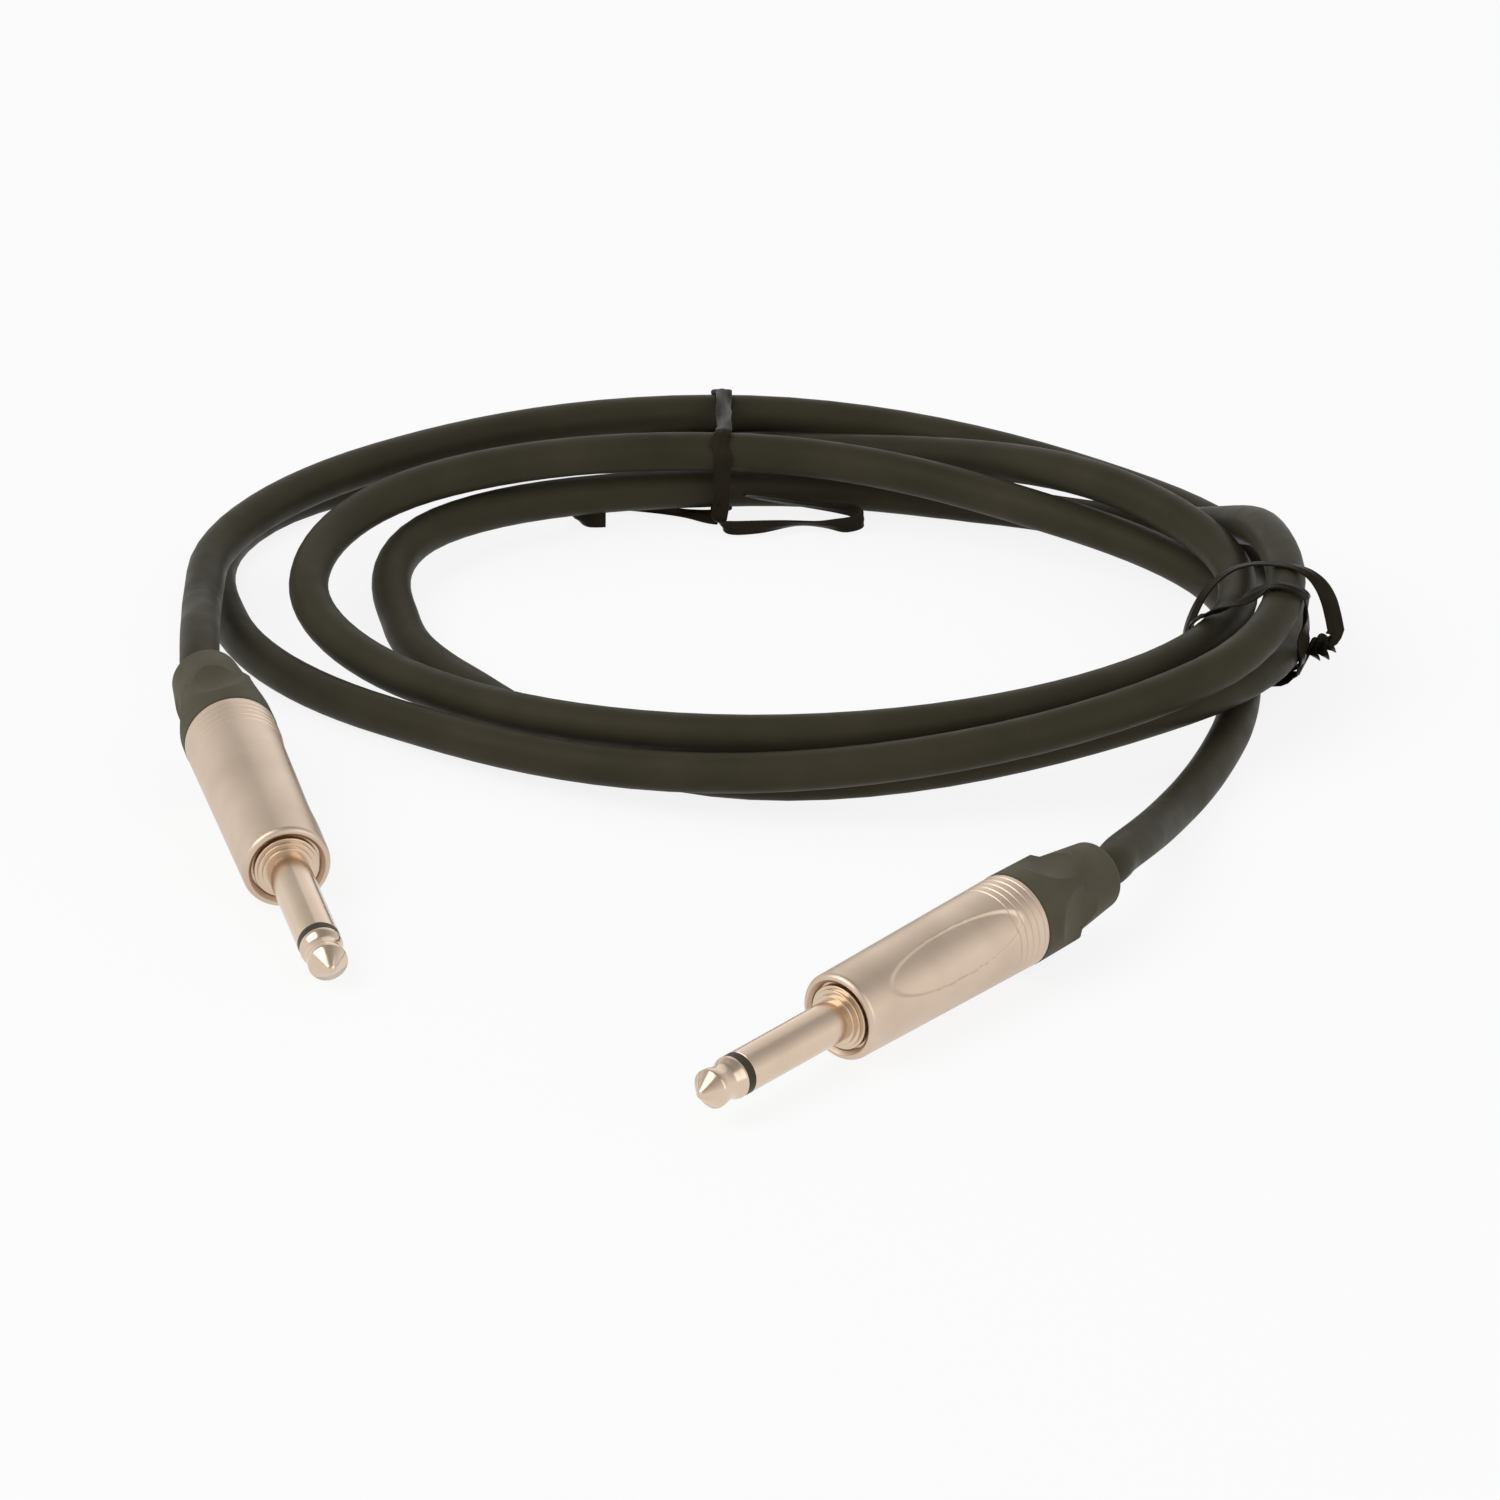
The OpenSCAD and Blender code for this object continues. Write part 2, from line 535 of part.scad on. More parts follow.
cable_coil();
cable_lead(LEAD_A_PATH);  // cable_lead_a
cable_lead(LEAD_B_PATH);  // cable_lead_b
back_tie();
side_tie();
in_plug(PLUG_A) tip();  // tip_a
in_plug(PLUG_A) tip_ring();  // tip_ring_a
in_plug(PLUG_A) sleeve();  // sleeve_a
in_plug(PLUG_A) inner_tube();  // inner_tube_a
in_plug(PLUG_A) rear_insulator();  // rear_insulator_a
in_plug(PLUG_A) tip_lug();  // tip_lug_a
in_plug(PLUG_A) ground_lug();  // ground_lug_a
in_plug(PLUG_A) chuck();  // chuck_a
in_plug(PLUG_A) core_wire();  // core_wire_a
in_plug(PLUG_A) shield_tail();  // shield_tail_a
in_plug(PLUG_A) shell();  // shell_a
in_plug(PLUG_A) boot(PLUG_A[4]);  // boot_a
in_plug(PLUG_B) tip();  // tip_b
in_plug(PLUG_B) tip_ring();  // tip_ring_b
in_plug(PLUG_B) sleeve();  // sleeve_b
in_plug(PLUG_B) inner_tube();  // inner_tube_b
in_plug(PLUG_B) rear_insulator();  // rear_insulator_b
in_plug(PLUG_B) tip_lug();  // tip_lug_b
in_plug(PLUG_B) ground_lug();  // ground_lug_b
in_plug(PLUG_B) chuck();  // chuck_b
in_plug(PLUG_B) core_wire();  // core_wire_b
in_plug(PLUG_B) shield_tail();  // shield_tail_b
in_plug(PLUG_B) shell();  // shell_b
in_plug(PLUG_B) boot(PLUG_B[4]);  // boot_b
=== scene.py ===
"""Instrument cable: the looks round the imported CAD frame. Sizes are in millimetres until a mesh
is made, where MM turns them into metres, and the camera, floor and lamps are in metres. Plug
pieces are turned about +Z from the apex of the tip and laid down by the plug's own placement,
as in the CAD."""

import math

import bpy
from mathutils import Euler, Matrix, Vector


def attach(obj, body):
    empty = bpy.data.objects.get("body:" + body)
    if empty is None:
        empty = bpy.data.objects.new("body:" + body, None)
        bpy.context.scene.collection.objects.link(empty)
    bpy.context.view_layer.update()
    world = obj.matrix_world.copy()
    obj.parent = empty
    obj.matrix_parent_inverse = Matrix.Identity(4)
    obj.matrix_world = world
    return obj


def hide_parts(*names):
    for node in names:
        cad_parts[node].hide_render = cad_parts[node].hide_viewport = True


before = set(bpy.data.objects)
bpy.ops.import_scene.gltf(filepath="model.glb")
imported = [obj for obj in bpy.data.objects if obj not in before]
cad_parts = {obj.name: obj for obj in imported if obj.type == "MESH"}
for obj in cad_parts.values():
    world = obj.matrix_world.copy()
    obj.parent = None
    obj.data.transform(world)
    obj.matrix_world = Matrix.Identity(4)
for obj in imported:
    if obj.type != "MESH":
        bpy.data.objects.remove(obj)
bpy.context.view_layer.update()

MM = 0.001

# ---------------------------------------------------------------- sizes shared with the CAD

CORD_D = 6.0
CORD_R = CORD_D / 2
CORD_REST = CORD_R - CORD_D / 10  # height of the cable's centre where it lies on the ground
COIL_RX, COIL_RY = 79.0, 53.0
COIL_CENTRE = (-1.0, 51.0)
TURNS = 3.5
# The coil goes round an oval from its left side over the back. At each station a lane says how
# far outside the oval it runs and a height how high its centre lies, one row for each turn.
STATIONS = 8
LANES = [
    3.5, 2.5, 13.5, 8.5, 2.5, 12.0, 6.5, -18.5,
    -26.0, -11.5, -4.5, 0.5, -0.5, 15.5, 13.0, -2.0,
    0.0, 17.5, 9.5, -9.0, -5.5, 1.5, 6.0, -9.0,
    -12.0, -9.0, -7.5, -12.5, -5.5, -5.5]
HEIGHTS = [
    10.5, 12.5, 9.3, 5.0, 5.5, 9.0, 3.0, 3.0,
    2.5, 6.0, 4.5, 3.0, 17.0, 14.5, 7.0, 3.0,
    2.5, 2.5, 4.5, 14.0, 10.7, 10.1, 10.0, 6.0,
    9.0, 12.5, 11.5, 8.0, 4.2, 5.0]
# Free stretches, from the plug to the coil
LEAD_A_POINTS = [(-83, 16, 12.6), (-83.3, 23.8, 12.4), (-83.5, 31.4, 11.3)]
LEAD_B_POINTS = [
    (52.6, -46.6, 8.3), (55.7, -38.3, 6.9), (58.2, -29.8, 5), (60.8, -21.3, 3.5),
    (63.8, -12.9, 2.8), (66.6, -4.5, 2.5), (69.1, 4, 2.5), (71.1, 12.5, 2.5), (72.4, 21.3, 3),
    (72.8, 30.2, 3.8)]
LEAD_STEP, LEAD_STRAIGHT = 8.0, 3.0  # between a lead's first points, straight behind the boot
TANGENT_STEP = 0.001  # in turns
LOOP_STEPS = 96  # steps in a turn of the coil
LEAD_STEPS = 8  # steps between two chosen points of a lead

# Radii, and distances from the tip along a plug. A land is a straight stretch of the tip.
ROD_R, SLEEVE_BORE_R, FINGER_R = 1.2, 2.2, 3.175
TIP_LENGTH, TIP_RING_END = 7.2, 8.7
TIP_APEX_R, TIP_HEAD_R, TIP_NECK_R = 0.9, 2.92, 2.63
TIP_HEAD_AT, TIP_HEAD_LAND, TIP_NECK_AT, TIP_NECK_LAND, TIP_BACK_LAND = 2.5, 0.3, 4.8, 0.4, 0.3
APEX_SPREAD = 60  # degrees of the apex's round, from the axis to the cone
SHELL_FACE, SHELL_END = 30.0, 68.7
SHELL_FRONT_R, SHELL_BACK_R = 6.55, 7.05
SHELL_BORE_R, SHELL_MOUTH_R = 5.5, 5.2
LIP_ROUND, LIP_BEVEL, LIP_THICKNESS = 0.8, 0.5, 1.2
BACK_BORE_R = 5.9
SPIGOT_START, SPIGOT_WALL = 61.7, 0.75
BORE_WIDENS, BACK_BORE_START = SPIGOT_START - 0.7, SPIGOT_START - 0.3
BARREL_R, BARREL_START, BARREL_END = 5.45, 31.35, 38.85
COLLAR_STEPS = [(0.62, -1.1), (1.22, -0.5), (1.65, 0.1)]  # height over the finger, start from the face
COLLAR_ROUND = 0.12
GROOVES, GROOVE_PITCH, GROOVE_SETBACK = 5, 1.3, 1.2
RECESS_LENGTH, RECESS_WIDTH, RECESS_DEPTH, RECESS_SLOPE = 28.0, 7.5, 0.25, 0.35
RECESS_END = SHELL_END - 4.7
BOOT_END = 87.6
BOOT_BORE_R = 3.4
BOOT_RING_R, BOOT_RING_END, BOOT_RING_TAPER = 7.1, 78.0, 0.15
BOOT_WAIST_R, WAIST_STEP, WAIST_ROUND = 6.15, 0.3, 0.2
BOOT_MOUTH_R, MOUTH_ROUND, MOUTH_FLARE = 5.15, 0.9, 0.5
SCOOPS, SCOOP_R = 4, 11.9
SCOOP_CENTRE_R, SCOOP_CENTRE_AT = BOOT_RING_R + 10.2, SHELL_END + 9.3
CHUCK_R, CHUCK_END, CHUCK_TAPER = 5.0, 73.7, 0.9
SEAT_CLEARANCE = 0.1
CAVITY_NARROWS, CAVITY_END = CHUCK_END + 0.4, CHUCK_END + 1
JACKET_START = 56.0

# How corners are trimmed, as (inwards, along) from the sharp corner
TIP_HEAD_EDGE = [(0.06, -0.12), (0, 0.05)]
TIP_BACK_EDGE = [(0, -0.08), (0.08, 0)]
RING_INSET = 0.02
RING_FRONT_EDGE, RING_BACK_EDGE = [(0.05, 0), (0, 0.06)], [(0, -0.06), (0.05, 0)]
SLEEVE_FRONT_EDGE = [(0.06, 0), (0, 0.06)]
GROOVE = [(0, 0), (0.15, 0.12), (0.15, 0.24), (0, 0.35)]
SHELL_BACK_EDGE = [(0, -0.25), (0.08, -0.07), (0.25, 0)]
BOOT_FRONT_EDGE = [(0.2, 0), (0.05, 0.06), (0, 0.2)]

# Fineness of the turned meshes: segments round, and steps along where a dent needs them
PLAIN_SEGMENTS, SHELL_SEGMENTS, BOOT_SEGMENTS = 96, 224, 240
RECESS_STEP, SCOOP_STEP = 0.22, 0.25
RECESS_REACH = (RECESS_END - RECESS_LENGTH - 1, RECESS_END)
SCOOP_REACH = (SHELL_END + 2.5, SHELL_END + 13.5)
MEASURE_R = 6.5  # stands for a turned piece's radius in its measure round the axis


def shell_r(z):
    """Outside radius of the shell at a distance from the tip."""
    return SHELL_FRONT_R + (SHELL_BACK_R - SHELL_FRONT_R) * (z - SHELL_FACE) / (SHELL_END - SHELL_FACE)


LIP_R = shell_r(SHELL_FACE + LIP_ROUND)


class Plug:
    """Where one plug lies: place of its tip, then heading, rise, roll and the boot's own roll."""

    def __init__(self, name, x, y, heading, rise, roll, boot_roll):
        # The shell's rounded front edge lies on the ground
        tilt = math.radians(rise)
        z = (LIP_R - LIP_ROUND) * math.cos(tilt) + LIP_ROUND - (SHELL_FACE + LIP_ROUND) * math.sin(tilt)
        self.name = name
        self.boot_roll = math.radians(boot_roll)
        self.shell_body, self.boot_body = "shell_" + name, "boot_" + name
        self.matrix = (
            Matrix.Translation((x, y, z))
            @ Matrix.Rotation(math.radians(heading), 4, "Z")
            @ Matrix.Rotation(math.radians(90 - rise), 4, "Y")
            @ Matrix.Rotation(math.radians(roll), 4, "Z"))

    def on_axis(self, s):
        """Point of the plug's axis at a distance from the tip."""
        return self.matrix @ Vector((0, 0, s))


PLUG_A = Plug("a", -60.5, -76.4, 104.2, 5.6, 258, 3)
PLUG_B = Plug("b", -8.1, -121.1, 49.6, 2.2, 234, 40)

# ---------------------------------------------------------------- camera

VIEW_RISE = math.radians(24)
VIEW_DISTANCE = 1.8
VIEW_CENTRE = Vector((-0.001, 0.009, 0))
IMAGE, FOCAL = 1500, 12090  # the photograph's width and the camera's focal length, in pixels
SENSOR = 36  # in Blender's millimetres


def make_camera():
    """The photograph's view, level from side to side and looking down."""
    data = bpy.data.cameras.new("camera")
    data.sensor_width = SENSOR
    data.lens = SENSOR * FOCAL / IMAGE
    data.clip_start, data.clip_end = 0.1, 20
    camera = bpy.data.objects.new("camera", data)
    back = Vector((0, -math.cos(VIEW_RISE), math.sin(VIEW_RISE)))
    camera.location = VIEW_CENTRE + VIEW_DISTANCE * back
    camera.rotation_euler = Euler((math.pi / 2 - VIEW_RISE, 0, 0))
    bpy.context.collection.objects.link(camera)
    bpy.context.scene.camera = camera


make_camera()

# ---------------------------------------------------------------- mesh helpers


def make_mesh(name, points, faces, uvs=None, sharp=35):
    """A smooth-shaded mesh object from points in millimetres. Edges above the angle sharp, in
    degrees, stay sharp."""
    mesh = bpy.data.meshes.new(name)
    mesh.from_pydata([tuple(MM * c for c in p) for p in points], [], faces)
    if uvs:
        layer = mesh.uv_layers.new(name="turned")
        for loop in mesh.loops:
            layer.data[loop.index].uv = uvs[loop.vertex_index]
    mesh.validate()
    mesh.polygons.foreach_set("use_smooth", [True] * len(mesh.polygons))
    mesh.set_sharp_from_angle(angle=math.radians(sharp))
    obj = bpy.data.objects.new(name, mesh)
    bpy.context.collection.objects.link(obj)
    return obj


def grid_faces(rows, columns, close_rows=False):
    """Quads of a grid that closes round its columns, and also round its rows if asked."""
    faces = []
    for i in range(rows if close_rows else rows - 1):
        for j in range(columns):
            k, m = (i + 1) % rows, (j + 1) % columns
            faces.append((i * columns + j, k * columns + j, k * columns + m, i * columns + m))
    return faces


def turned(name, plug, outline, segments=PLAIN_SEGMENTS, dent=None):
    """A piece turned about the plug's axis. outline is a list of (radius, distance from the tip),
    closed unless both its ends are on the axis. dent gives how much deeper a point lies."""
    closed = outline[-1][0] > 0
    rings = outline if closed else outline[1:-1]
    points, uvs = [], []
    for r, z in rings:
        for j in range(segments):
            a = 2 * math.pi * j / segments
            radius = r - dent(a, r, z) if dent else r
            points.append((radius * math.cos(a), radius * math.sin(a), z))
            uvs.append((a * MEASURE_R, z))
    faces = grid_faces(len(rings), segments, close_rows=closed)
    if not closed:
        last = (len(rings) - 1) * segments
        for r, z in (outline[0], outline[-1]):
            points.append((0, 0, z))
            uvs.append((0, z))
        first_pole, last_pole = len(points) - 2, len(points) - 1
        for j in range(segments):
            m = (j + 1) % segments
            faces.append((first_pole, j, m))
            faces.append((last_pole, last + m, last + j))
    placed = [plug.matrix @ Vector(p) for p in points]
    return make_mesh(name, placed, faces, uvs)


def trimmed(r, z, edge):
    """Profile points round a trimmed corner at (r, z)."""
    return [(r - inwards, z + along) for inwards, along in edge]


def soft_step(r0, z0, r1, z1, steps=10):
    """Profile points of a soft step from one radius to another."""
    return [(r0 + (r1 - r0) * (1 - math.cos(math.pi * k / steps)) / 2, z0 + (z1 - z0) * k / steps)
            for k in range(steps + 1)]


def arc(r, z, radius, start, stop, steps=8):
    """Profile points on an arc round (r, z). Angles in degrees from the outward direction."""
    angles = [math.radians(start + (stop - start) * k / steps) for k in range(steps + 1)]
    return [(r + radius * math.cos(a), z + radius * math.sin(a)) for a in angles]


def dense(outline, step, start, stop):
    """Adds points to an outline so that none are more than step apart along the axis, from start
    to stop."""
    out = [outline[0]]
    for (r0, z0), (r1, z1) in zip(outline, outline[1:]):
        count = 1
        if min(z0, z1) < stop and max(z0, z1) > start:
            count = max(1, math.ceil(abs(z1 - z0) / step))
        out += [(r0 + (r1 - r0) * k / count, z0 + (z1 - z0) * k / count) for k in range(1, count + 1)]
    return out


def entry(values, i):
    """The value at i, or the first or last one beyond the ends."""
    return values[min(max(i, 0), len(values) - 1)]


def smooth(values, u):
    """Smooth curve through equally spaced numbers or vectors."""
    i = math.floor(u)
    w = u - i
    a, b, c, d = (entry(values, k) for k in range(i - 1, i + 3))
    return b + (c - a + (2 * a - 5 * b + 4 * c - d + (3 * (b - c) + d - a) * w) * w) * (0.5 * w)


def coil_point(t):
    """Point of the cable's centreline, t turns round the coil."""
    a = 2 * math.pi * t
    lane = smooth(LANES, t * STATIONS)
    height = max(CORD_REST, smooth(HEIGHTS, t * STATIONS))
    return Vector((
        COIL_CENTRE[0] - (COIL_RX + lane) * math.cos(a),
        COIL_CENTRE[1] + (COIL_RY + lane) * math.sin(a),
        height))


def lead_points(plug, points, before):
    """Centreline of one lead from inside its plug to just before the coil."""
    route = [plug.on_axis(BOOT_END + LEAD_STRAIGHT - k * LEAD_STEP) for k in (2, 1, 0)]
    route += [Vector(p) for p in points] + [before]
    out = [plug.on_axis(JACKET_START)]
    for k in range(LEAD_STEPS * (len(route) - 1) + 1):
        p = smooth(route, k / LEAD_STEPS)
        p.z = max(CORD_REST, p.z)
        out.append(p)
    return out


def cable_route():
    """The whole cable's centreline, from plug A round the coil to plug B."""
    start, end = coil_point(0), coil_point(TURNS)
    start_run = (coil_point(TANGENT_STEP) - start).normalized()
    end_run = (end - coil_point(TURNS - TANGENT_STEP)).normalized()
    coil = [coil_point(k / LOOP_STEPS) for k in range(int(TURNS * LOOP_STEPS) + 1)]
    first, last = start - CORD_D * start_run, end + CORD_D * end_run
    lead_a = lead_points(PLUG_A, LEAD_A_POINTS, first - CORD_D * start_run)
    lead_b = lead_points(PLUG_B, LEAD_B_POINTS, last + CORD_D * end_run)
    return lead_a + [first] + coil + [last] + lead_b[::-1]


def tube(name, path, radius, sides=32):
    """A round tube along a path, never lower than the ground."""
    points, uvs, run_length = [], [], 0.0
    for i, centre in enumerate(path):
        run = (entry(path, i + 1) - entry(path, i - 1)).normalized()
        side = run.cross(Vector((0, 0, 1))).normalized()
        up = side.cross(run)
        run_length += (centre - entry(path, i - 1)).length
        for j in range(sides):
            a = 2 * math.pi * j / sides
            p = centre + radius * (math.cos(a) * side + math.sin(a) * up)
            points.append((p.x, p.y, max(0.0, p.z)))
            uvs.append((a * radius, run_length))
    faces = grid_faces(len(path), sides)
    faces.append(tuple(reversed(range(sides))))
    faces.append(tuple(range((len(path) - 1) * sides, len(path) * sides)))
    faces = [tuple(reversed(f)) for f in faces]
    return make_mesh(name, points, faces, uvs)


# ---------------------------------------------------------------- materials

RELIEF, BRUSH_RELIEF = 0.0001, 0.00004  # in metres
NOISE_LOW, NOISE_HIGH = 0.3, 0.7  # where nearly all of a noise lies
BRUSH_STRETCH = (0.02, 6.0, 1.0)  # round the axis, along it


class Material:
    """A node material with short calls for the nodes used here."""

    def __init__(self, name, **values):
        self.material = bpy.data.materials.new(name)
        self.material.use_nodes = True
        self.tree = self.material.node_tree
        self.shader = self.tree.nodes["Principled BSDF"]
        for socket, value in values.items():
            self.shader.inputs[socket.replace("_", " ")].default_value = value

    def node(self, kind, inputs=None, **settings):
        """A new node. An input is another node's socket or a plain value."""
        made = self.tree.nodes.new(kind)
        for key, value in settings.items():
            setattr(made, key, value)
        for key, value in (inputs or {}).items():
            if isinstance(value, bpy.types.NodeSocket):
                self.tree.links.new(value, made.inputs[key])
            else:
                made.inputs[key].default_value = value
        return made

    def noise(self, scale, detail, vector=None):
        """Noise over the object, or over another measure of its surface."""
        source = vector or self.node("ShaderNodeTexCoord").outputs["Object"]
        made = self.node("ShaderNodeTexNoise", {"Vector": source, "Scale": scale, "Detail": detail})
        return made.outputs["Fac"]

    def round_axis(self):
        """Measure of a turned surface, stretched so that noise over it runs round the axis."""
        source = self.node("ShaderNodeUVMap", uv_map="turned").outputs["UV"]
        made = self.node("ShaderNodeMapping", {"Vector": source, "Scale": BRUSH_STRETCH})
        return made.outputs["Vector"]

    def spread(self, noise, low, high):
        """Noise brought from its usual range to one from low to high."""
        made = self.node("ShaderNodeMapRange", {
            "Value": noise, "From Min": NOISE_LOW, "From Max": NOISE_HIGH, "To Min": low, "To Max": high})
        return made.outputs["Result"]

    def mottle(self, noise, low, high):
        """Base colour that wanders between two colours."""
        made = self.node("ShaderNodeMix", data_type="RGBA")
        factor, first, second = (made.inputs[k] for k in (0, 6, 7))
        first.default_value, second.default_value = (*low, 1), (*high, 1)
        self.tree.links.new(self.spread(noise, 0, 1), factor)
        self.feed("Base Color", made.outputs[2])

    def feed(self, socket, value):
        """Links a node's output to a socket of the shader."""
        self.tree.links.new(value, self.shader.inputs[socket])

    def bump(self, height, strength, distance):
        """Relief from a noise, with its height in metres."""
        made = self.node("ShaderNodeBump", {
            "Height": height, "Strength": strength, "Distance": distance})
        self.feed("Normal", made.outputs["Normal"])


def jacket():
    """The cable's dull rubber, whose reflections are warmer than the light."""
    m = Material("jacket", Specular_IOR_Level=0.09, Specular_Tint=(1.0, 0.9, 0.7, 1))
    m.mottle(m.noise(60, 5), (0.030, 0.0265, 0.0168), (0.0435, 0.0383, 0.0245))
    m.feed("Roughness", m.spread(m.noise(220, 3), 0.42, 0.54))
    m.bump(m.noise(1400, 3), 0.12, RELIEF)
    return m.material


def metal(name, low, high, roughness, brush=0.0):
    """Metal with faint mottling of colour and roughness, and turning marks if brushed."""
    m = Material(name, Metallic=1.0)
    m.mottle(m.noise(90, 4), low, high)
    if brush:
        marks = m.noise(1.6, 5, m.round_axis())
        m.feed("Roughness", m.spread(marks, roughness - 0.05, roughness + 0.07))
        m.bump(marks, brush, BRUSH_RELIEF)
    else:
        m.feed("Roughness", m.spread(m.noise(300, 3), roughness - 0.03, roughness + 0.04))
    return m.material


def plastic(name, low, high, roughness, grain=0.1, grain_scale=900, shine=0.4):
    """Plastic with a fine grain."""
    m = Material(name, Specular_IOR_Level=shine)
    m.mottle(m.noise(120, 4), low, high)
    m.feed("Roughness", m.spread(m.noise(260, 3), roughness - 0.05, roughness + 0.06))
    m.bump(m.noise(grain_scale, 3), grain, RELIEF)
    return m.material


JACKET = jacket()
SHELL_METAL = metal("shell_metal", (0.61, 0.478, 0.372), (0.71, 0.572, 0.452), 0.38, brush=0.08)
CONTACT_METAL = metal("contact_metal", (0.66, 0.515, 0.39), (0.735, 0.59, 0.46), 0.2, brush=0.04)
BOOT_PLASTIC = plastic(
    "boot_plastic", (0.066, 0.057, 0.036), (0.09, 0.079, 0.051), 0.6,
    grain=0.14, grain_scale=700, shine=0.15)
RING_PLASTIC = plastic(
    "black_insulator", (0.045, 0.038, 0.024), (0.06, 0.051, 0.033), 0.42, grain=0.05, shine=0.1)
TIE_PLASTIC = plastic(
    "tie_plastic", (0.013, 0.010, 0.006), (0.025, 0.020, 0.013), 0.26,
    grain=0.5, grain_scale=260, shine=0.03)
LAMINATE = plastic("laminate", (0.20, 0.10, 0.045), (0.30, 0.16, 0.075), 0.6)
GREY_PLASTIC = plastic("grey_plastic", (0.05, 0.05, 0.05), (0.075, 0.075, 0.075), 0.5)
CORE_PLASTIC = plastic("core_insulation", (0.62, 0.60, 0.55), (0.75, 0.73, 0.68), 0.4)
TINNED = metal("tinned_brass", (0.55, 0.52, 0.46), (0.68, 0.65, 0.58), 0.34)
COPPER = metal("copper", (0.60, 0.30, 0.17), (0.74, 0.40, 0.25), 0.38)


def finish_piece(obj, material, body):
    """Gives a piece its material and the body that it rides on."""
    obj.data.materials.clear()
    obj.data.materials.append(material)
    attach(obj, body)
    return obj


# ---------------------------------------------------------------- plug pieces


def make_tip(plug):
    """The pointed contact: round apex, cone, head, neck and shoulder."""
    apex_round = TIP_APEX_R / math.sin(math.radians(APEX_SPREAD))
    outline = arc(0, apex_round, apex_round, -90, APEX_SPREAD - 90)
    outline += trimmed(TIP_HEAD_R, TIP_HEAD_AT, TIP_HEAD_EDGE)
    outline += soft_step(TIP_HEAD_R, TIP_HEAD_AT + TIP_HEAD_LAND, TIP_NECK_R, TIP_NECK_AT)
    outline += soft_step(TIP_NECK_R, TIP_NECK_AT + TIP_NECK_LAND, FINGER_R, TIP_LENGTH - TIP_BACK_LAND)
    outline += trimmed(FINGER_R, TIP_LENGTH, TIP_BACK_EDGE)
    outline.append((0, TIP_LENGTH))
    tip = turned("tip_face_" + plug.name, plug, outline)
    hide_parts("tip_" + plug.name)
    return finish_piece(tip, CONTACT_METAL, "cable")


def make_tip_ring(plug):
    """The insulating ring between tip and sleeve."""
    r = FINGER_R - RING_INSET
    outline = [(ROD_R, TIP_LENGTH)] + trimmed(r, TIP_LENGTH, RING_FRONT_EDGE)
    outline += trimmed(r, TIP_RING_END, RING_BACK_EDGE) + [(ROD_R, TIP_RING_END)]
    ring = turned("insulating_ring_" + plug.name, plug, outline)
    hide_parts("tip_ring_" + plug.name)
    return finish_piece(ring, RING_PLASTIC, "cable")


def make_sleeve(plug):
    """The finger with its stepped collar and the barrel that the shell screws on."""
    outline = [(SLEEVE_BORE_R, TIP_RING_END)] + trimmed(FINGER_R, TIP_RING_END, SLEEVE_FRONT_EDGE)
    starts = [SHELL_FACE + start for _, start in COLLAR_STEPS]
    for (height, _), start, stop in zip(COLLAR_STEPS, starts, starts[1:] + [BARREL_START]):
        radius = FINGER_R + height
        outline.append((outline[-1][0], start))
        outline += arc(radius - COLLAR_ROUND, start + COLLAR_ROUND, COLLAR_ROUND, -90, 0, 4)
        outline.append((radius, stop))
    outline += [(BARREL_R, BARREL_START), (BARREL_R, BARREL_END), (SLEEVE_BORE_R, BARREL_END)]
    sleeve = turned("finger_sleeve_" + plug.name, plug, outline)
    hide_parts("sleeve_" + plug.name)
    return finish_piece(sleeve, CONTACT_METAL, "cable")


def recess_dent(a, r, z):
    """Depth of the oval recess at a point of the shell's outside."""
    if r < SHELL_FRONT_R:
        return 0.0
    across = r * math.remainder(a, 2 * math.pi)
    along = z - (RECESS_END - RECESS_LENGTH / 2)
    reach = math.hypot(across / (RECESS_WIDTH / 2), along / (RECESS_LENGTH / 2))
    from_edge = (1 - reach) * RECESS_WIDTH / 2
    fall = min(max(from_edge / RECESS_SLOPE + 0.5, 0.0), 1.0)
    return RECESS_DEPTH * fall * fall * (3 - 2 * fall)


def make_shell(plug):
    """The shell with its rolled lip, bare oval recess and rear grooves."""
    outline = arc(LIP_R - LIP_ROUND, SHELL_FACE + LIP_ROUND, LIP_ROUND, -90, 0, 10)
    outside = [outline[-1]]
    for k in reversed(range(GROOVES)):
        z = SHELL_END - GROOVE_SETBACK - GROOVE_PITCH * k
        outside += trimmed(shell_r(z), z, GROOVE)
    outline += dense(outside, RECESS_STEP, *RECESS_REACH)[1:]
    outline += trimmed(SHELL_BACK_R, SHELL_END, SHELL_BACK_EDGE)
    lip_back = SHELL_FACE + LIP_THICKNESS
    outline += [(BACK_BORE_R, SHELL_END), (BACK_BORE_R, BACK_BORE_START), (SHELL_BORE_R, BORE_WIDENS),
                (SHELL_BORE_R, lip_back), (SHELL_MOUTH_R, lip_back),
                (SHELL_MOUTH_R, SHELL_FACE + LIP_BEVEL), (SHELL_MOUTH_R + LIP_BEVEL, SHELL_FACE)]
    shell = turned("metal_shell_" + plug.name, plug, outline, SHELL_SEGMENTS, recess_dent)
    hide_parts("shell_" + plug.name)
    return finish_piece(shell, SHELL_METAL, plug.shell_body)


